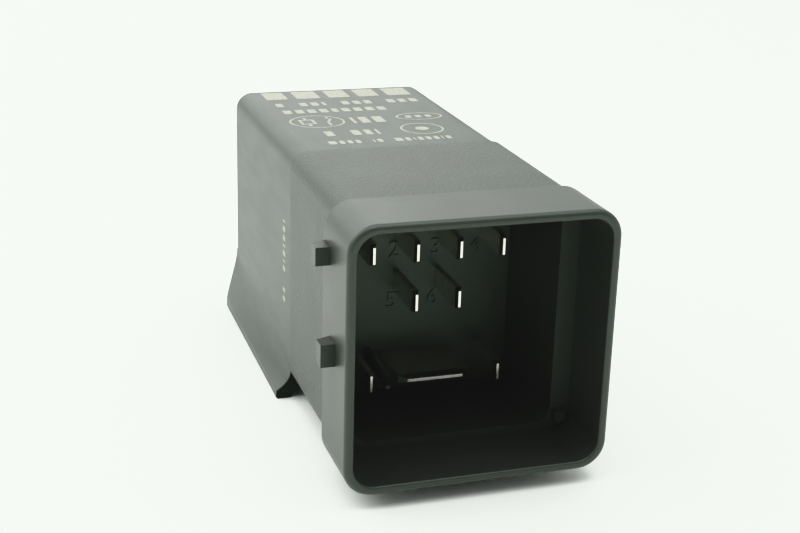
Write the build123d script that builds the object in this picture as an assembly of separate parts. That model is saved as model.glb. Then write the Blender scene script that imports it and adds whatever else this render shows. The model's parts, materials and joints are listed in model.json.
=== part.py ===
"""Plug-in control relay: nine-blade base with a deep plug collar, a rear cover with a
two-rail mounting foot, and a circuit board with a clapper relay inside.

Frame: X across, Y from the open plug collar (-Y) to the back of the cover (+Y), Z up.
The origin is the bottom centre of the whole relay, with the foot rails standing on z = 0.
Lengths are in millimetres. Depths are measured from the mouth of the collar.
"""
from build123d import *
import os

# ---- driving dimensions: outside -------------------------------------------------
overall_length = 71.0
collar_width = 33.5
collar_height = 33.5
collar_length = 10.8
collar_radius = 3.6
collar_wall = 1.15
rim_radius = 0.65             # rounding of the collar's outer front edge
lip_radius = 0.3              # and of its inner one
foot_drop = 2.0               # the foot rails reach this far below the collar

base_width = 30.4
base_inset_top = 0.2          # the base is this much lower than the collar's roof
base_inset_bottom = 0.4       # and this much above the collar's underside
base_radius = 2.5
seam_depth = 33.6
seam_gap = 0.15
side_step = 0.25              # the cover is this much smaller than the base, all round
cover_wall = 1.3
cover_edge_radius = 1.5
sole_trim = 0.4               # the rails are made this much too deep and trimmed flat at z = 0

# ---- driving dimensions: plug side ------------------------------------------------
ledge_depth = 9.3             # depth of the step inside the collar
floor_depth = 24.0            # depth of the face that the blades stand on
floor_thickness = 3.2
tip_depth = 15.2              # depth of the blade tips
blade_pitch = 5.69
blade_field_x = -0.47         # middle of the blade field
row_one_z = 26.45
row_two_z = 19.85
row_three_z = 9.35
small_blade_width = 2.8
small_blade_thickness = 0.8
small_tip_width = 2.15        # the tips are coined down to narrow edges
small_tip_thickness = 0.3
small_tip_length = 0.6
large_blade_width = 9.5
large_blade_thickness = 1.2
large_tip_width = 7.4
large_tip_thickness = 0.4
large_tip_length = 0.9
key_fin_x = -7.02             # the thin keying fin to the left of the large blade
key_fin_width = 0.6
lug_reach = 1.75
lug_crest = 1.9
lug_length = 2.8
lugs = ((7.45, 29.7, 2.25), (4.75, 18.4, 2.85))    # depth, height of the middle, and height of each

# ---- driving dimensions: inside ---------------------------------------------------
board_z = 22.9
board_thickness = 1.6
board_width = 24.0
coil_z = 12.7                 # axis of the relay's coil
pole_radius = 3.4
core_radius = 2.9
coil_radius = 6.1
contact_radius = 1.3
bar_thickness = 1.1           # bar that carries the fixed contact

# ---- worked out -------------------------------------------------------------------
mouth_y = -overall_length / 2
rim_bottom = foot_drop
rim_top = foot_drop + collar_height
base_bottom = rim_bottom + base_inset_bottom
base_top = rim_top - base_inset_top
cover_width = base_width - 2 * side_step
cover_bottom = base_bottom + side_step
cover_top = base_top - side_step
cover_start = seam_depth + seam_gap
cover_inner_width = cover_width - 2 * cover_wall
cover_inner_bottom = cover_bottom + cover_wall
cover_inner_top = cover_top - cover_wall
floor_back = floor_depth + floor_thickness
board_top = board_z + board_thickness
yoke_leg_bottom = coil_z + 7.2
yoke_leg_top = yoke_leg_bottom + 1.6
bar_bottom = coil_z - 8.4
contact_z = coil_z - 5.2
column_x = [blade_field_x + blade_pitch * step for step in (-1.5, -0.5, 0.5, 1.5)]


def block(x_range, depth_range, z_range):
    """A box between two limits on each axis, with its depths counted from the mouth."""
    size = [high - low for low, high in (x_range, depth_range, z_range)]
    middle = [(low + high) / 2 for low, high in (x_range, depth_range, z_range)]
    return Pos(middle[0], mouth_y + middle[1], middle[2]) * Box(*size)


def section(width, z_low, z_high, depth, radius):
    """A rounded rectangle across the relay at one depth."""
    plane = Plane(origin=(0, mouth_y + depth, (z_low + z_high) / 2), x_dir=(1, 0, 0), z_dir=(0, 1, 0))
    return plane * RectangleRounded(width, z_high - z_low, radius)


def rounded_block(width, z_low, z_high, depth_start, depth_end, radius):
    """A rounded rectangle drawn out along Y between two depths."""
    return extrude(section(width, z_low, z_high, depth_start, radius), depth_end - depth_start, dir=(0, 1, 0))


def rod(x, z, depth_start, depth_end, radius):
    """A round bar along Y."""
    length = depth_end - depth_start
    return Pos(x, mouth_y + (depth_start + depth_end) / 2, z) * Rot(90, 0, 0) * Cylinder(radius, length)


def post(x, depth, z_low, z_high, radius):
    """A round bar along Z."""
    return Pos(x, mouth_y + depth, (z_low + z_high) / 2) * Cylinder(radius, z_high - z_low)


def front_edges(solid, depth):
    """The edges of a solid that lie in the plane across it at one depth."""
    return solid.edges().filter_by_position(Axis.Y, mouth_y + depth - 0.01, mouth_y + depth + 0.01)


def outline_solid(points, x_range):
    """A closed outline of (depth, z) points, drawn out along X."""
    face = make_face(Polyline(*[(0, mouth_y + depth, z) for depth, z in points], close=True))
    return Pos(x_range[0], 0, 0) * extrude(face, x_range[1] - x_range[0], dir=(1, 0, 0))


def tongue(x, z, width, height):
    """A thin rectangle across the relay at the tip of a blade, used as the end of its bevel."""
    plane = Plane(origin=(x, mouth_y + tip_depth, z), x_dir=(1, 0, 0), z_dir=(0, 1, 0))
    return plane * Rectangle(width, height)


# ---- plug base ---------------------------------------------------------------------
def make_lug(side, depth, z_middle, height):
    """A retaining lug on the side of the collar: square towards the mouth and sloping away behind."""
    root = collar_width / 2 - 0.3
    crest = collar_width / 2 + lug_reach
    front = mouth_y + depth
    outline = Polyline((root, front), (crest, front), (crest, front + lug_crest), (root, front + lug_length),
                       close=True)
    lug = Pos(0, 0, z_middle - height / 2) * extrude(make_face(outline), height, dir=(0, 0, 1))
    return lug if side > 0 else mirror(lug, Plane.YZ)


def make_base():
    collar = rounded_block(collar_width, rim_bottom, rim_top, 0, collar_length, collar_radius)
    collar = fillet(front_edges(collar, 0), rim_radius)
    collar = fillet(front_edges(collar, collar_length), 0.5)
    body = rounded_block(base_width, base_bottom, base_top, collar_length - 1, seam_depth, base_radius)
    body = chamfer(front_edges(body, seam_depth), 0.25)
    spigot = rounded_block(cover_inner_width - 0.2, cover_inner_bottom + 0.1, cover_inner_top - 0.1,
                           seam_depth - 1, seam_depth + 3.4, 1.1)
    base = collar + body + spigot
    for side in (-1, 1):
        for depth, z_middle, height in lugs:
            base += make_lug(side, depth, z_middle, height)

    mouth_width = collar_width - 2 * collar_wall
    mouth = rounded_block(mouth_width, rim_bottom + collar_wall, rim_top - collar_wall, -1, ledge_depth, 2.7)
    pocket = loft([
        section(26.2, rim_bottom + 2.35, base_top - 1.6, ledge_depth - 0.01, 2.2),
        section(24.8, rim_bottom + 2.6, base_top - 2.1, floor_depth, 1.6),
    ])
    chamber = rounded_block(cover_inner_width - 2.6, cover_inner_bottom + 1.3, cover_inner_top - 1.3,
                            floor_back, seam_depth + 4, 0.8)
    base = base - mouth - pocket - chamber
    rim = base.faces().filter_by_position(Axis.Y, mouth_y - 0.01, mouth_y + 0.01)[0]
    base = fillet(rim.inner_wires()[0].edges(), lip_radius)

    # a guide block in the lower right corner of the ledge
    base += block((13.4, 14.8), (8.3, ledge_depth + 0.5), (rim_bottom + 2.6, rim_bottom + 4.0))
    # the keying fin runs out from the floor as far as the blades do, and gets thinner on its way
    fin_end = tip_depth - 0.6
    fin = [(fin_end, 8.8), (floor_depth + 0.5, 8.9), (floor_depth + 0.5, 10.8), (fin_end, 9.25)]
    base += outline_solid(fin, (key_fin_x - key_fin_width / 2, key_fin_x + key_fin_width / 2))
    # snap noses on the spigot, top and bottom
    for z_low in (cover_inner_top - 0.2, cover_inner_bottom - 0.3):
        base += block((-4, 4), (seam_depth + 1.9, seam_depth + 2.9), (z_low, z_low + 0.5))
    return base


# ---- rear cover and its mounting foot -----------------------------------------------
def rail_section(depth, cove_top, bend, tip, toe):
    """Outline of the left foot rail across the relay at one depth.

    cove_top is where the hollow flank leaves the cover's side, bend pulls it in,
    tip is its lower end and toe is how far out the rail stands on its sole.
    """
    wall = cover_width / 2
    inner = wall - 0.9
    plane = Plane(origin=(0, mouth_y + depth, 0), x_dir=(1, 0, 0), z_dir=(0, -1, 0))
    flank = Bezier((-wall + 0.05, cove_top), (-wall + 0.02, cove_top - 2.1), bend, tip)
    rest = Polyline(tip, (-toe, 0.25), (-toe + 0.25 + sole_trim, -sole_trim), (-wall - 0.3, -sole_trim),
                    (-inner, 2.0), (-inner, cove_top), (-wall + 0.05, cove_top))
    return plane * make_face([flank, rest])


def make_cover():
    cover = rounded_block(cover_width, cover_bottom, cover_top, cover_start, overall_length, base_radius)
    cover = fillet(front_edges(cover, overall_length), cover_edge_radius)
    rail = loft([
        rail_section(cover_start, 5.9, (-14.6, 2.7), (-16.98, 1.1), 17.05),
        rail_section(overall_length - 0.5, 9.8, (-16.0, 4.9), (-16.65, 1.6), 16.7),
    ])
    cover = cover + rail + mirror(rail, Plane.YZ)
    cover -= block((-20, 20), (cover_start - 1, overall_length + 1), (-2 * sole_trim, 0))
    hollow = rounded_block(cover_inner_width, cover_inner_bottom, cover_inner_top,
                           cover_start - 1, overall_length - cover_wall, 1.2)
    rebate = rounded_block(cover_inner_width + 1.0, cover_inner_bottom - 0.5, cover_inner_top + 0.5,
                           cover_start - 1, seam_depth + 1.0, 1.6)
    cover = cover - hollow - rebate
    # pockets for the snap noses
    for z_low in (cover_inner_top - 0.1, cover_inner_bottom - 0.45):
        cover -= block((-4.3, 4.3), (seam_depth + 1.8, seam_depth + 3.0), (z_low, z_low + 0.55))
    # rails that hold the edges of the board
    for side in (-1, 1):
        for z_low in (board_z - 1.3, board_top + 0.1):
            edge_x = sorted((side * 11.3, side * (cover_inner_width / 2 + 0.2)))
            cover += block(edge_x, (48, overall_length - 1), (z_low, z_low + 1.2))
    return cover


def make_gasket():
    outer = rounded_block(cover_inner_width + 1.0, cover_inner_bottom - 0.5, cover_inner_top + 0.5,
                          seam_depth, seam_depth + 0.95, 1.6)
    inner = rounded_block(cover_inner_width - 0.2, cover_inner_bottom + 0.1, cover_inner_top - 0.1,
                          seam_depth - 1, seam_depth + 2, 1.1)
    return outer - inner


# ---- terminals ------------------------------------------------------------------------
def make_small_blade(x, z, rise_depth):
    """A plug blade on edge, with a pin behind the floor that bends to the board."""
    tip = tongue(x, z, small_tip_thickness, small_tip_width)
    root = Pos(0, small_tip_length, 0) * tongue(x, z, small_blade_thickness, small_blade_width)
    blade = loft([tip, root])
    half = small_blade_thickness / 2
    blade += block((x - half, x + half), (tip_depth + small_tip_length, floor_back + 0.6),
                   (z - small_blade_width / 2, z + small_blade_width / 2))
    blade += block((x - half, x + half), (floor_back, rise_depth + 0.5), (z - 0.5, z + 0.5))
    far_end = board_z - 1.2 if z > board_z else board_top + 1.2
    z_range = sorted((z + (0.5 if z > board_z else -0.5), far_end))
    blade += block((x - half, x + half), (rise_depth - 0.5, rise_depth + 0.5), z_range)
    return blade


def make_supply_blade():
    """The large flat blade and the bar behind it that carries the fixed contact."""
    x = blade_field_x
    half = large_blade_thickness / 2
    tip = tongue(x, row_three_z, large_tip_width, large_tip_thickness)
    root = Pos(0, large_tip_length, 0) * tongue(x, row_three_z, large_blade_width, large_blade_thickness)
    blade = loft([tip, root])
    blade += block((x - large_blade_width / 2, x + large_blade_width / 2),
                   (tip_depth + large_tip_length, 32.2), (row_three_z - half, row_three_z + half))
    bar_top = bar_bottom + bar_thickness
    blade += block((x - 3.4, x + 3.4), (31.0, 32.2), (bar_bottom, row_three_z + half))
    blade += block((x - 3.4, x + 3.4), (31.0, 43.7), (bar_bottom, bar_top))
    blade += block((x - 2.4, x + 2.4), (42.6, 43.7), (bar_bottom, contact_z + contact_radius + 0.2))
    return blade


# ---- clapper relay -------------------------------------------------------------------
def make_yoke():
    leg = block((-7, 7), (41.7, 63.6), (yoke_leg_bottom, yoke_leg_top))
    heel = block((-7, 7), (62.0, 63.6), (coil_z - 7, yoke_leg_top))
    return leg + heel - rod(0, coil_z, 60, 65, 2.2)


def make_core():
    pole = rod(0, coil_z, 42.4, 43.4, pole_radius)
    return pole + rod(0, coil_z, 43.4, 62.0, core_radius) + rod(0, coil_z, 62.0, 64.2, 2.2)


def make_bobbin():
    front = block((-7, 7), (44.0, 45.0), (coil_z - 6.2, yoke_leg_bottom - 0.3))
    back = block((-9, 9), (60.8, 61.9), (coil_z - 6.8, yoke_leg_bottom - 0.3))
    sleeve = rod(0, coil_z, 44.5, 61.5, core_radius + 0.9)
    return front + back + sleeve - rod(0, coil_z, 43, 63, core_radius)


def make_winding():
    return rod(0, coil_z, 45.0, 60.8, coil_radius) - rod(0, coil_z, 44, 62, core_radius + 0.9)


def make_armature():
    plate = block((-6.4, 6.4), (39.6, 41.0), (coil_z - 2.6, coil_z + 7.9))
    return fillet(plate.edges().filter_by(Axis.Y), 0.8)


def make_contact_spring():
    """A leaf on the face of the armature, narrowed below it where it carries the contact."""
    wide = block((-4.6, 4.6), (39.25, 39.6), (coil_z + 1.6, coil_z + 7.0))
    return wide + block((-2.9, 1.9), (39.25, 39.6), (coil_z - 6.6, coil_z + 2.1))


def make_hinge_spring():
    """A leaf on the yoke that is bent down in front of the armature and stops it there."""
    flat = block((-4.4, 4.4), (38.5, 52.0), (yoke_leg_top, yoke_leg_top + 0.3))
    return flat + block((-4.4, 4.4), (38.5, 38.8), (coil_z + 5.2, yoke_leg_top + 0.3))


# ---- circuit board ---------------------------------------------------------------------
def make_chip():
    body = block((-6.5, 3.5), (48, 54.5), (board_top + 0.5, board_top + 2.9))
    return chamfer(body.edges().group_by(Axis.Z)[-1], 0.3)


def make_chip_leads():
    leads = []
    for index in range(7):
        x = -5.7 + 1.4 * index
        for edge, foot in ((48, 46.9), (54.5, 55.6)):
            reach = sorted((edge, foot))
            lead = block((x - 0.22, x + 0.22), reach, (board_top + 1.4, board_top + 1.7))
            toe = (foot, foot + 0.3) if foot < edge else (foot - 0.3, foot)
            lead += block((x - 0.22, x + 0.22), toe, (board_top, board_top + 1.7))
            leads.append(lead)
    return Compound(children=leads)


def make_axial(x, depth_start, depth_end, radius):
    """A leaded part lying on the board: a round body and two bent wires."""
    z = board_top + radius + 0.3
    body = rod(x, z, depth_start + 1.6, depth_end - 1.6, radius)
    wire = rod(x, z, depth_start, depth_end, 0.3)
    for depth in (depth_start + 0.3, depth_end - 0.3):
        wire += post(x, depth, board_top, z, 0.3)
    return body + wire


def make_capacitor():
    can = rod(6.9, board_top + 3.4, 44.0, 54.6, 3.3)
    can = fillet(front_edges(can, 44.0), 0.5)
    leads = [rod(6.9 + dx, board_top + 3.4, 54.6, 56.4, 0.3) for dx in (-1.25, 1.25)]
    feet = [post(6.9 + dx, 56.1, board_top, board_top + 3.4, 0.3) for dx in (-1.25, 1.25)]
    for lead in leads + feet:
        can += lead
    return can


def make_transistor():
    body = post(-8.6, 60.5, board_top + 1.6, board_top + 6.2, 2.3)
    body -= block((-12, -5), (61.8, 65), (board_top, board_top + 8))
    for dx in (-1.27, 0, 1.27):
        body += post(-8.6 + dx, 60.5, board_top, board_top + 1.8, 0.25)
    return body


def make_ceramics():
    spots = ((-2.5, 60.0), (1.5, 60.0), (-9.6, 44.5))
    return Compound(children=[
        block((x - 1.0, x + 1.0), (depth - 0.65, depth + 0.65), (board_top, board_top + 0.9))
        for x, depth in spots
    ])


def make_shunt():
    """A flat bridge of resistance strip that the board reads the load current from."""
    top = block((-5.5, 5.5), (39.6, 41.6), (board_top + 2.6, board_top + 3.2))
    for x_range in ((-5.5, -4.9), (4.9, 5.5)):
        top += block(x_range, (39.6, 41.6), (board_top, board_top + 3.2))
    return top


def make_board(pins):
    board = block((-board_width / 2, board_width / 2), (31.6, 66.4), (board_z, board_top))
    for pin in pins:
        board -= pin
    return board


# ---- put the pieces together --------------------------------------------------------------
small_blades = [make_small_blade(x, row_one_z, 33.4) for x in column_x]
small_blades += [make_small_blade(x, row_two_z, 37.4) for x in column_x[1:3]]
small_blades += [make_small_blade(x, row_three_z, 36.0) for x in (column_x[0], column_x[3])]
supply_blade = make_supply_blade()
coil_pins = Compound(children=[
    post(x, 61.35, yoke_leg_bottom - 0.3, board_top + 1.0, 0.4) for x in (-8.2, 8.2)
])
stud_places = ((-5.4, 42.8), (5.4, 42.8), (0, 57.5))
yoke_studs = Compound(children=[
    post(x, depth, yoke_leg_top, board_top + 0.7, 0.9) for x, depth in stud_places
])

base = make_base()
for blade in small_blades + [supply_blade]:
    base -= blade

pieces = {
    "base_housing": base,
    "rear_cover": make_cover(),
    "seam_gasket": make_gasket(),
    "supply_blade": supply_blade,
    "fixed_contact": rod(blade_field_x, contact_z, 42.0, 42.6, contact_radius),
    "circuit_board": make_board(small_blades + [coil_pins, yoke_studs]),
    "relay_yoke": make_yoke(),
    "relay_core": make_core(),
    "coil_bobbin": make_bobbin(),
    "coil_winding": make_winding(),
    "coil_pins": coil_pins,
    "yoke_studs": yoke_studs,
    "armature": make_armature(),
    "contact_spring": make_contact_spring(),
    "moving_contact": rod(blade_field_x, contact_z, 39.6, 40.7, contact_radius),
    "armature_rivets": Compound(children=[rod(x, coil_z + 4.0, 38.95, 39.25, 0.9) for x in (-2.6, 2.6)]),
    "hinge_spring": make_hinge_spring(),
    "hinge_rivets": Compound(children=[
        post(x, 48.5, yoke_leg_top + 0.3, yoke_leg_top + 0.9, 0.9) for x in (-2.4, 2.4)
    ]),
    "timer_chip": make_chip(),
    "chip_leads": make_chip_leads(),
    "smoothing_capacitor": make_capacitor(),
    "resistors": Compound(children=[make_axial(x, 58.0, 65.6, 0.9) for x in (3.8, 6.2, 10.3)]),
    "flyback_diode": make_axial(-9.8, 49.0, 57.0, 1.1),
    "driver_transistor": make_transistor(),
    "ceramic_capacitors": make_ceramics(),
    "sense_shunt": make_shunt(),
}
for number, blade in enumerate(small_blades, start=1):
    pieces[f"small_blade_{number}"] = blade

os.makedirs("parts", exist_ok=True)
for name, piece in pieces.items():
    piece.label = name
    export_step(piece, f"parts/{name}.step")
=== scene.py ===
import json
from math import cos, pi, radians, sin

import bmesh
import bpy
from mathutils import Matrix, Quaternion, Vector


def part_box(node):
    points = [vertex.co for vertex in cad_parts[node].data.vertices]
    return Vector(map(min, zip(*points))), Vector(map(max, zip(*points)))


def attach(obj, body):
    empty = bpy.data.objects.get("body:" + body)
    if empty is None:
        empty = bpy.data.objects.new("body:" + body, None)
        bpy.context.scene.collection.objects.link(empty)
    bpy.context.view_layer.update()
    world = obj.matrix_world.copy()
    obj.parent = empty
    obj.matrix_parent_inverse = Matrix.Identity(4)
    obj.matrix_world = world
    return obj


# The looks of the plug-in relay. The shapes are the CAD nodes. This script gives each of them its
# material, and adds what is printed and embossed on them, the floor, the light and the camera.
# Lengths are in metres, and MM turns a millimetre into metres. X runs across the relay, +Y from the
# mouth of the plug collar to the back, and +Z up.

MM = 0.001

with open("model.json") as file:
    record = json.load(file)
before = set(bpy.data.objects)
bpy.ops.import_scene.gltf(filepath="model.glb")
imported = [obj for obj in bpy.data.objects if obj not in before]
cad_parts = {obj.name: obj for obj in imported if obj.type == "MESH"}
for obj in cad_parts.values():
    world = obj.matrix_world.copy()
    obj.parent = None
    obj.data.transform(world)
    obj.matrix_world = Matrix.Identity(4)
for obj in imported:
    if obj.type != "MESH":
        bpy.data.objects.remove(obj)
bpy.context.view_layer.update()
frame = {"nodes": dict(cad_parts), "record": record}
nodes = frame["nodes"]


# ---------------------------------------------------------------- where things are

# Places on the CAD's own shapes, for the materials and the marks that follow them.
BASE_LOW, BASE_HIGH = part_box("base_housing")
MOUTH = BASE_LOW.y
COLLAR_REAR = MOUTH + 10.8 * MM
POCKET_FLOOR = MOUTH + 24.0 * MM
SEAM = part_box("seam_gasket")[0].y
COVER_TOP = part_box("rear_cover")[1].z
COVER_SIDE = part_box("seam_gasket")[1].x + 0.8 * MM      # the cover's wall outside its seal
BODY_SIDE = COVER_SIDE + 0.25 * MM
BODY_TOP = BASE_HIGH.z - 0.2 * MM                       # the body is a little lower than the collar
BODY_BOTTOM = BASE_LOW.z + 0.4 * MM
BODY_MIDDLE = (BODY_BOTTOM + BODY_TOP) / 2
BODY_HALF_HEIGHT = (BODY_TOP - BODY_BOTTOM) / 2


# ---------------------------------------------------------------- materials

# The room's light comes back from black plastic faintly green.
SHEEN_TINT = (0.82, 1.0, 0.85)
DUST = (0.42, 0.44, 0.40)


class Look:
    """A node material in the making: its shader, and short ways to add and join nodes."""

    def __init__(self, name, colour, roughness, metallic=0.0, specular=0.5):
        self.material = bpy.data.materials.new(name)
        self.material.use_nodes = True
        self.tree = self.material.node_tree
        self.shader = self.tree.nodes["Principled BSDF"]
        self.material.diffuse_color = (*colour, 1)
        self.set("Base Color", (*colour, 1))
        self.set("Roughness", roughness)
        self.set("Metallic", metallic)
        self.set("Specular IOR Level", specular)
        self.set("Specular Tint", (*SHEEN_TINT, 1) if metallic == 0 else (1, 1, 1, 1))
        self.place = self.node("ShaderNodeTexCoord").outputs["Object"]

    def set(self, socket, value):
        self.shader.inputs[socket].default_value = value

    def node(self, kind, **settings):
        made = self.tree.nodes.new(kind)
        for name, value in settings.items():
            setattr(made, name, value)
        return made

    def join(self, output, socket):
        self.tree.links.new(output, socket)

    def math(self, operation, first, second=0.0):
        """The result of a math node on two values, each a number or another node's output."""
        made = self.node("ShaderNodeMath", operation=operation)
        for socket, value in zip(made.inputs, (first, second)):
            if isinstance(value, (int, float)):
                socket.default_value = value
            else:
                self.join(value, socket)
        return made.outputs["Value"]

    def stretched(self, scale):
        """The place on the object, stretched by three factors."""
        made = self.node("ShaderNodeMapping")
        made.inputs["Scale"].default_value = scale
        self.join(self.place, made.inputs["Vector"])
        return made.outputs["Vector"]

    def noise(self, size, detail=3.0, rough=0.5, stretch=(1, 1, 1)):
        """A soft random pattern, 0 to 1, whose blotches are about size across."""
        made = self.node("ShaderNodeTexNoise")
        made.inputs["Scale"].default_value = 1 / size
        made.inputs["Detail"].default_value = detail
        made.inputs["Roughness"].default_value = rough
        self.join(self.stretched(stretch), made.inputs["Vector"])
        return made.outputs["Fac"]

    def cells(self, size):
        """Rounded pits about size across: 0 at their middles, rising between them."""
        made = self.node("ShaderNodeTexVoronoi", feature="SMOOTH_F1")
        made.inputs["Scale"].default_value = 1 / size
        self.join(self.place, made.inputs["Vector"])
        return made.outputs["Distance"]

    def step(self, value, low, high, bottom=0.0, top=1.0):
        """value mapped smoothly from low..high to bottom..top."""
        made = self.node("ShaderNodeMapRange", interpolation_type="SMOOTHSTEP")
        for socket, number in zip(("From Min", "From Max", "To Min", "To Max"), (low, high, bottom, top)):
            made.inputs[socket].default_value = number
        self.join(value, made.inputs["Value"])
        return made.outputs["Result"]

    def tint(self, fac, dark, light):
        """Base colour running from dark to light."""
        made = self.node("ShaderNodeMix", data_type="RGBA")
        self.join(fac, made.inputs["Factor"])
        made.inputs["A"].default_value = (*dark, 1)
        made.inputs["B"].default_value = (*light, 1)
        self.colour_from(made.outputs["Result"])
        return made.outputs["Result"]

    def over(self, fac, under, colour):
        """Base colour with another laid over an earlier colour output where fac is 1."""
        made = self.node("ShaderNodeMix", data_type="RGBA")
        self.join(fac, made.inputs["Factor"])
        self.join(under, made.inputs["A"])
        made.inputs["B"].default_value = (*colour, 1)
        self.colour_from(made.outputs["Result"])
        return made.outputs["Result"]

    def colour_from(self, output):
        self.join(output, self.shader.inputs["Base Color"])

    def roughness_from(self, output):
        self.join(output, self.shader.inputs["Roughness"])

    def relief(self, *layers):
        """Bumps, one on the other: each layer is a height output and its depth in metres."""
        below = None
        for height, depth in layers:
            made = self.node("ShaderNodeBump")
            made.inputs["Distance"].default_value = depth
            self.join(height, made.inputs["Height"])
            if below is not None:
                self.join(below, made.inputs["Normal"])
            below = made.outputs["Normal"]
        self.join(below, self.shader.inputs["Normal"])

    def axes(self):
        """The three coordinates of the place, as outputs."""
        made = self.node("ShaderNodeSeparateXYZ")
        self.join(self.place, made.inputs["Vector"])
        return made.outputs


def grained_area(look):
    """1 on the outside of the base behind its collar, 0 inside it, on the collar and on the lugs."""
    x, y, z = look.axes()
    across = look.math("ABSOLUTE", x)
    upright = look.math("ABSOLUTE", look.math("SUBTRACT", z, BODY_MIDDLE))
    side = look.math("DIVIDE", across, BODY_SIDE)
    top = look.math("DIVIDE", upright, BODY_HALF_HEIGHT)
    outside = look.step(look.math("MAXIMUM", side, top), 0.88, 0.93)
    behind_collar = look.step(y, COLLAR_REAR, COLLAR_REAR + 0.3 * MM)
    on_lug = look.step(across, BODY_SIDE + 0.1 * MM, BODY_SIDE + 0.3 * MM)
    behind = look.math("MULTIPLY", outside, behind_collar)
    return look.math("MULTIPLY", behind, look.math("SUBTRACT", 1, on_lug))


def base_plastic():
    """Black moulded plastic: spark-eroded grain on the outside behind the collar, smooth elsewhere."""
    look = Look("base_plastic", (0.027, 0.028, 0.026), 0.42)
    grained = grained_area(look)
    grain = look.math("MULTIPLY", look.cells(0.34 * MM), grained)
    fine = look.noise(0.12 * MM, detail=2)
    haze = look.noise(9 * MM, detail=4)
    dust = look.step(look.noise(0.5 * MM, detail=5, rough=0.7), 0.60, 0.78)
    shade = look.tint(haze, (0.025, 0.026, 0.024), (0.030, 0.031, 0.029))
    speckled = look.over(look.math("MULTIPLY", grain, 0.06), shade, (0.25, 0.28, 0.25))
    look.over(look.math("MULTIPLY", dust, 0.03), speckled, DUST)
    smooth = look.step(haze, 0.3, 0.7, 0.40, 0.43)
    look.roughness_from(look.math("ADD", smooth, look.math("MULTIPLY", grained, 0.06)))
    look.relief((fine, 0.003 * MM), (grain, 0.05 * MM))
    return look.material


def cover_plastic():
    """Smooth satin black with faint handling marks, a trace of dust, and painted shade beside the seam."""
    look = Look("cover_plastic", (0.026, 0.029, 0.026), 0.42)
    haze = look.noise(11 * MM, detail=4)
    streaks = look.noise(2.2 * MM, detail=3, stretch=(1, 0.25, 1))
    dust = look.step(look.noise(0.6 * MM, detail=5, rough=0.7), 0.62, 0.80)
    shade = look.tint(haze, (0.024, 0.027, 0.024), (0.028, 0.031, 0.028))
    dusty = look.over(look.math("MULTIPLY", dust, 0.03), shade, DUST)
    # Painted shade: the colour turns near black just behind the seam, where the seam's crease would shade
    # the cover, and the roughness rises there too.
    seam_shade = look.step(look.axes()["Y"], SEAM + 0.25 * MM, SEAM + 0.55 * MM, 1.0, 0.0)
    look.over(seam_shade, dusty, (0.003, 0.003, 0.003))
    gloss = look.step(streaks, 0.3, 0.7, 0.41, 0.44)
    look.roughness_from(look.math("ADD", gloss, look.math("MULTIPLY", seam_shade, 0.5)))
    look.relief((look.noise(0.18 * MM, detail=2), 0.004 * MM))
    return look.material


def gasket_rubber():
    look = Look("gasket_rubber", (0.02, 0.02, 0.02), 0.85, specular=0.3)
    look.tint(look.noise(0.8 * MM), (0.014, 0.014, 0.014), (0.030, 0.030, 0.030))
    look.relief((look.noise(0.1 * MM), 0.01 * MM))
    return look.material


def metal(name, dark, light, roughness, streak=(1, 1, 1)):
    """Plated or rolled metal: two tones in blotches, and fine lines along the way it was drawn."""
    look = Look(name, light, roughness, metallic=1.0)
    look.tint(look.step(look.noise(1.5 * MM, detail=4), 0.3, 0.7), dark, light)
    lines = look.noise(0.12 * MM, detail=3, stretch=streak)
    look.roughness_from(look.step(lines, 0.25, 0.75, roughness * 0.75, roughness * 1.3))
    look.relief((lines, 0.002 * MM))
    return look.material


def board_laminate():
    """Green solder mask over copper tracks, which show as lighter bands under it."""
    look = Look("board_laminate", (0.03, 0.16, 0.07), 0.28)
    weave = look.cells(0.5 * MM)
    tracks = look.step(look.noise(2.4 * MM, detail=0), 0.46, 0.50)
    green = look.tint(look.noise(6 * MM), (0.018, 0.11, 0.045), (0.03, 0.16, 0.07))
    look.over(look.math("MULTIPLY", tracks, 0.45), green, (0.08, 0.30, 0.10))
    look.relief((weave, 0.004 * MM), (tracks, 0.03 * MM))
    return look.material


def moulded(name, dark, light, roughness, speck=0.25 * MM):
    """A plain moulded, fired or lacquered body with a mottled surface."""
    look = Look(name, light, roughness)
    mottle = look.noise(1.8 * MM, detail=4)
    look.tint(mottle, dark, light)
    look.roughness_from(look.step(mottle, 0.3, 0.7, roughness * 0.85, roughness * 1.15))
    look.relief((look.noise(speck, detail=2), 0.006 * MM))
    return look.material


def copper_wire():
    """The coil: turns of enamelled wire side by side round the Y axis, with painted shade in the grooves
    between them.
    """
    look = Look("copper_wire", (0.65, 0.27, 0.12), 0.30, metallic=1.0)
    wire = 0.16 * MM
    turns = look.math("ABSOLUTE", look.math("SINE", look.math("MULTIPLY", look.axes()["Y"], pi / wire)))
    # Painted shade: the copper colour darkens in the grooves between the turns and is lightest on their
    # crests.
    look.tint(turns, (0.30, 0.10, 0.04), (0.72, 0.32, 0.15))
    look.relief((turns, 0.06 * MM))
    return look.material


def capacitor_sleeve():
    """Dark blue shrunk sleeve with the pale stripe of the negative side."""
    look = Look("capacitor_sleeve", (0.02, 0.03, 0.10), 0.25)
    low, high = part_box("smoothing_capacitor")
    edge = low.x + (high.x - low.x) * 0.8
    stripe = look.step(look.axes()["X"], edge, edge + 0.1 * MM)
    blue = look.tint(look.noise(2 * MM), (0.015, 0.022, 0.08), (0.03, 0.045, 0.14))
    look.over(stripe, blue, (0.6, 0.6, 0.58))
    look.relief((look.noise(0.5 * MM), 0.01 * MM))
    return look.material


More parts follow.
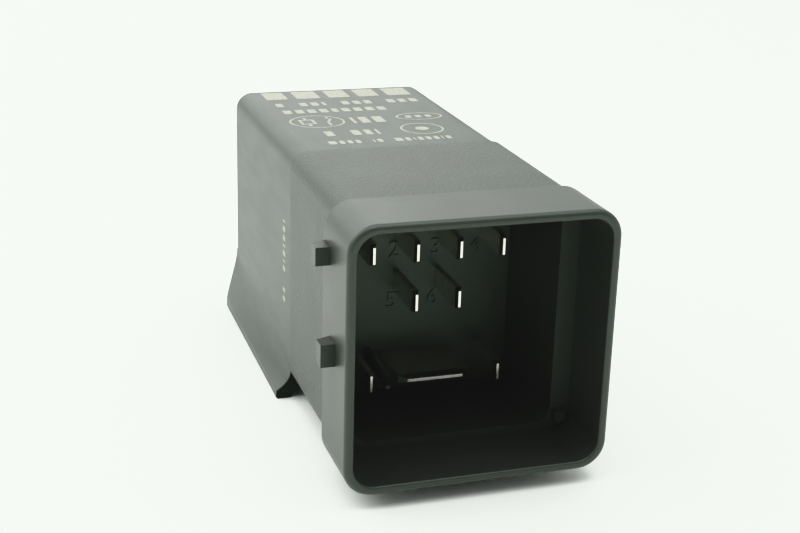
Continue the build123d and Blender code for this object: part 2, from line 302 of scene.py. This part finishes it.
def marking_ink():
    """Pad-printed off-white ink, thin in places."""
    look = Look("marking_ink", (0.32, 0.31, 0.26), 0.55)
    worn = look.step(look.noise(0.45 * MM, detail=5, rough=0.65), 0.30, 0.62)
    look.tint(worn, (0.20, 0.20, 0.17), (0.32, 0.31, 0.26))
    look.relief((look.noise(0.1 * MM), 0.003 * MM))
    return look.material


ALONG_X = (0.06, 1, 1)
ALONG_Y = (1, 0.06, 1)
ALONG_Z = (1, 1, 0.06)

looks = {
    "base_plastic": base_plastic(),
    "cover_plastic": cover_plastic(),
    "gasket_rubber": gasket_rubber(),
    "terminal_tin": metal("terminal_tin", (0.70, 0.68, 0.64), (0.80, 0.78, 0.73), 0.17, ALONG_Y),
    "contact_silver": metal("contact_silver", (0.60, 0.59, 0.56), (0.85, 0.84, 0.80), 0.26),
    "board_laminate": board_laminate(),
    "relay_iron": metal("relay_iron", (0.42, 0.41, 0.37), (0.62, 0.61, 0.56), 0.34, ALONG_X),
    "bobbin_plastic": moulded("bobbin_plastic", (0.50, 0.47, 0.38), (0.60, 0.57, 0.47), 0.45),
    "copper_wire": copper_wire(),
    "spring_bronze": metal("spring_bronze", (0.46, 0.26, 0.10), (0.68, 0.42, 0.19), 0.28, ALONG_Z),
    "chip_epoxy": moulded("chip_epoxy", (0.016, 0.016, 0.017), (0.028, 0.028, 0.030), 0.55, 0.12 * MM),
    "solder_tin": metal("solder_tin", (0.52, 0.52, 0.51), (0.74, 0.74, 0.72), 0.24),
    "capacitor_sleeve": capacitor_sleeve(),
    "resistor_body": moulded("resistor_body", (0.44, 0.31, 0.17), (0.58, 0.43, 0.26), 0.35),
    "ceramic_body": moulded("ceramic_body", (0.46, 0.34, 0.21), (0.60, 0.47, 0.32), 0.60),
    "marking_ink": marking_ink(),
}

for subpart in frame["record"]["subparts"]:
    node = nodes[subpart["node"]]
    node.data.materials.clear()
    node.data.materials.append(looks[subpart["material_slot"]])


# ---------------------------------------------------------------- outlines, in millimetres

def rounded(left, right, low, high, radius):
    """The outline of a bar with rounded corners."""
    outline = []
    steps = 4
    for number, (x, y) in enumerate(((right, high), (left, high), (left, low), (right, low))):
        middle_x = x - radius if x == right else x + radius
        middle_y = y - radius if y == high else y + radius
        for part in range(steps + 1):
            turn = (number + part / steps) * pi / 2
            outline.append((middle_x + radius * cos(turn), middle_y + radius * sin(turn)))
    return outline


def ellipse(x, y, across, upright):
    points = 48
    turns = [2 * pi * number / points for number in range(points)]
    return [(x + across * cos(turn), y + upright * sin(turn)) for turn in turns]


def ring(x, y, across, upright):
    """An elliptic line: its outer and inner outlines."""
    line = 0.3
    return [ellipse(x, y, across, upright), ellipse(x, y, across - line, upright - line)]


def blocks(left, low, high, widths, gap, radius=0.25):
    """A row of plain blocks where the real relay has a line of print. A width of 0 is a space."""
    outlines = []
    for width in widths:
        if width:
            outlines.append(rounded(left, left + width, low, high, radius))
        left += (width or gap * 2) + gap
    return outlines


def flat_curve(outlines):
    """Outlines as a filled flat curve. An outline inside another is a hole in it."""
    curve = bpy.data.curves.new("outlines", "CURVE")
    curve.dimensions = "2D"
    curve.fill_mode = "BOTH"
    for outline in outlines:
        spline = curve.splines.new("POLY")
        spline.points.add(len(outline) - 1)
        for point, (x, y) in zip(spline.points, outline):
            point.co = (x * MM, y * MM, 0, 1)
        spline.use_cyclic_u = True
    return curve


def numeral(number, height):
    curve = bpy.data.curves.new("numeral", "FONT")
    curve.body = str(number)
    curve.size = height
    curve.align_x = "CENTER"
    curve.align_y = "CENTER"
    return curve


# ---------------------------------------------------------------- marks on the relay

INK = 0.02 * MM             # the ink stands out this far, and reaches as far into the plastic
NUMBER_ROOT = 0.1 * MM
NUMBER_RELIEF = 0.2 * MM
NUMBER_HEIGHT = 3.1 * MM


def mark(name, curve, origin, across, up, depth_in, stand_out, slot):
    """A closed solid of a flat curve, laid on a face: depth_in into it, and stand_out above it."""
    curve.extrude = (depth_in + stand_out) / 2
    drawn = bpy.data.objects.new("drawn", curve)
    bpy.context.scene.collection.objects.link(drawn)
    bpy.context.view_layer.update()
    mesh = bpy.data.meshes.new_from_object(drawn.evaluated_get(bpy.context.evaluated_depsgraph_get()))
    bpy.data.objects.remove(drawn)
    across, up = Vector(across), Vector(up)
    outward = across.cross(up)
    middle = Vector(origin) + outward * (stand_out - depth_in) / 2
    mesh.transform(Matrix.Translation(middle) @ Matrix((across, up, outward)).transposed().to_4x4())
    shape = bmesh.new()
    shape.from_mesh(mesh)
    bmesh.ops.remove_doubles(shape, verts=shape.verts, dist=1e-7)
    bmesh.ops.recalc_face_normals(shape, faces=shape.faces)
    shape.to_mesh(mesh)
    shape.free()
    mesh.materials.clear()
    mesh.materials.append(looks[slot])
    piece = bpy.data.objects.new(name, mesh)
    bpy.context.scene.collection.objects.link(piece)
    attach(piece, "housing")


def printed(name, outlines):
    """Ink on the top of the cover. Its outlines run across from the middle and back from the mouth."""
    mark(name, flat_curve(outlines), (0, MOUTH, COVER_TOP), (1, 0, 0), (0, 1, 0), INK, INK, "marking_ink")


# The lines of print, from the back to the front: left, front, back, the widths of the blocks, the gap.
PRINT_LINES = {
    "print_line_1": (-11.4, 64.0, 68.8, (3.3, 3.7, 3.3, 3.3, 3.8), 1.35),
    "print_line_2": (-10.9, 59.2, 61.4,
                     (1.1, 0, 1.1, 1.1, 0.5, 0, 1.1, 1.1, 1.1, 0, 1.2, 1.1, 1.2), 0.63),
    "print_line_3": (-10.8, 54.8, 57.0, (1.2, 1.2, 1.2, 1.2, 0.9, 1.2, 1.2, 1.2, 1.2), 0.62),
    "print_rating": (-2.4, 47.6, 51.1, (0.5, 1.3, 1.5), 0.75),
    "print_line_5": (-8.1, 41.0, 43.8, (1.2, 0, 1.2, 1.0, 0.4), 0.65),
    "print_line_6": (-8.9, 36.7, 38.4,
                     (1.1, 0.7, 0.7, 0.7, 0, 0.2, 0.7, 0, 1.1, 0.7, 0.2, 0.7, 0.7, 0.7, 0.2, 0.7), 0.44),
}
for line, (left, low, high, widths, gap) in PRINT_LINES.items():
    printed(line, blocks(left, low, high, widths, gap))

# The diagram of a relay inside a ring: a coil with its leads, and a switch contact with its own.
COIL = [rounded(-9.9, -7.7, 48.2, 50.9, 0.15), rounded(-9.5, -8.1, 48.6, 50.5, 0.1)]
COIL_LEADS = [rounded(-9.0, -8.6, 50.9, 52.0, 0.05), rounded(-9.0, -8.6, 47.1, 48.2, 0.05)]
CONTACT = [[(-6.1, 49.0), (-5.7, 49.0), (-4.9, 50.9), (-5.3, 50.9)]]
CONTACT_LEADS = [rounded(-6.1, -5.7, 47.1, 49.0, 0.05), rounded(-5.7, -5.3, 51.1, 52.0, 0.05)]
printed("print_diagram", ring(-7.4, 49.55, 4.0, 3.6) + COIL + COIL_LEADS + CONTACT + CONTACT_LEADS)
printed("print_oval", ring(8.0, 50.0, 3.5, 2.1) + blocks(5.9, 49.3, 50.7, (0.9, 0.9, 0.9), 0.6))
printed("print_ring", ring(6.1, 42.9, 3.1, 3.1) + [ellipse(6.1, 42.9, 1.0, 1.0)])

# A column of small marks on the left of the cover, beside the seam, read from below.
SIDE_WIDTHS = (0.7, 0.7, 0, 0.7, 0.3, 0.7, 0.3, 0.7, 0.7, 0.3)
side_marks = flat_curve(blocks(12.8, 37.2, 38.6, SIDE_WIDTHS, 0.6, radius=0.1))
mark("side_marks", side_marks, (-COVER_SIDE, MOUTH, 0), (0, 0, 1), (0, 1, 0), INK, INK, "marking_ink")

# Raised numbers on the floor of the pocket, by the blades: x, z and number.
TERMINAL_NUMBERS = (
    (-9.2, 24.0, 1), (-3.7, 24.0, 2), (2.0, 24.0, 3), (7.7, 24.0, 4), (-3.9, 17.0, 5), (1.8, 17.0, 6),
)
for x, z, number in TERMINAL_NUMBERS:
    place = (x * MM, POCKET_FLOOR, z * MM)
    curve = numeral(number, NUMBER_HEIGHT)
    mark(f"terminal_number_{number}", curve, place, (1, 0, 0), (0, 0, 1), NUMBER_ROOT, NUMBER_RELIEF,
         "base_plastic")


# ---------------------------------------------------------------- floor, light and camera

FLOOR_REACH = 3.0
TENT_COLOUR = (0.92, 0.965, 0.92)
TENT = 1.35                  # how strong the tent's light is
DIM_FRONT = 0.32             # and how strong it is from the open front
FRONT_EDGE = (-0.75, -0.1)   # between these parts of -Y the one turns into the other
GLARE = 0.028                # stray light in the lens, which lifts the blacks

# Name, place, width, height and power.
SOFTBOXES = (
    ("light_behind", (-0.25, 1.3, 0.75), 1.8, 1.0, 8),
    ("light_above_left", (-0.9, 0.3, 1.1), 1.2, 1.0, 12),
    ("light_above", (0.1, -0.3, 1.5), 1.0, 1.0, 14),
)

CAMERA_PLACE = (-58.17 * MM, -179.85 * MM, 83.89 * MM)
CAMERA_AIM = (0, -3.05 * MM, 18.51 * MM)
CAMERA_ROLL = radians(1.67)
LENS = 64.88                 # focal length in millimetres, on a sensor SENSOR wide
SENSOR = 36


def floor():
    look = Look("table", (0.90, 0.92, 0.89), 0.55, specular=0.3)
    look.tint(look.noise(0.25, detail=2), (0.89, 0.905, 0.88), (0.905, 0.92, 0.895))
    corners = [(x * FLOOR_REACH, y * FLOOR_REACH, 0) for x, y in ((-1, -1), (1, -1), (1, 1), (-1, 1))]
    mesh = bpy.data.meshes.new("table")
    mesh.from_pydata(corners, [], [(0, 1, 2, 3)])
    mesh.materials.append(look.material)
    table = bpy.data.objects.new("table", mesh)
    bpy.context.scene.collection.objects.link(table)


def surroundings():
    """The pale light of a white tent that is open towards the front, where the room beyond is dim.

    The camera itself sees the pale colour on every side.
    """
    world = bpy.data.worlds.new("white_tent")
    world.use_nodes = True
    tree = world.node_tree
    direction = tree.nodes.new("ShaderNodeTexCoord")
    axes = tree.nodes.new("ShaderNodeSeparateXYZ")
    tree.links.new(direction.outputs["Generated"], axes.inputs["Vector"])
    dimming = tree.nodes.new("ShaderNodeMapRange")
    dimming.interpolation_type = "SMOOTHSTEP"
    for socket, number in zip(("From Min", "From Max", "To Min", "To Max"), (*FRONT_EDGE, DIM_FRONT, TENT)):
        dimming.inputs[socket].default_value = number
    tree.links.new(axes.outputs["Y"], dimming.inputs["Value"])
    seen = tree.nodes.new("ShaderNodeLightPath")
    strength = tree.nodes.new("ShaderNodeMix")
    strength.inputs["B"].default_value = TENT
    tree.links.new(seen.outputs["Is Camera Ray"], strength.inputs["Factor"])
    tree.links.new(dimming.outputs["Result"], strength.inputs["A"])
    background = tree.nodes["Background"]
    background.inputs["Color"].default_value = (*TENT_COLOUR, 1)
    tree.links.new(strength.outputs["Result"], background.inputs["Strength"])
    bpy.context.scene.world = world


def softbox(name, place, width, height, power):
    """A large rectangular lamp at a place, facing the relay."""
    lamp = bpy.data.lights.new(name, "AREA")
    lamp.shape = "RECTANGLE"
    lamp.size = width
    lamp.size_y = height
    lamp.energy = power
    box = bpy.data.objects.new(name, lamp)
    box.location = place
    box.rotation_mode = "QUATERNION"
    box.rotation_quaternion = (-Vector(place)).to_track_quat("-Z", "Y")
    bpy.context.scene.collection.objects.link(box)


def camera():
    """A camera aimed at a point of the relay, turned a little about its line of sight."""
    sight = (Vector(CAMERA_AIM) - Vector(CAMERA_PLACE)).normalized()
    made = bpy.data.objects.new("camera", bpy.data.cameras.new("camera"))
    made.data.lens = LENS
    made.data.sensor_width = SENSOR
    made.data.clip_start = 10 * MM
    made.location = CAMERA_PLACE
    made.rotation_mode = "QUATERNION"
    made.rotation_quaternion = Quaternion(sight, -CAMERA_ROLL) @ sight.to_track_quat("-Z", "Y")
    bpy.context.scene.collection.objects.link(made)
    bpy.context.scene.camera = made


def display():
    """Bright tones roll off gently to white, and stray light lifts the darkest ones."""
    settings = bpy.context.scene.view_settings
    settings.view_transform = "Khronos PBR Neutral"
    settings.use_curve_mapping = True
    settings.curve_mapping.black_level = (-GLARE, -GLARE, -GLARE)
    settings.curve_mapping.update()


floor()
surroundings()
for name, place, width, height, power in SOFTBOXES:
    softbox(name, place, width, height, power)
camera()
display()
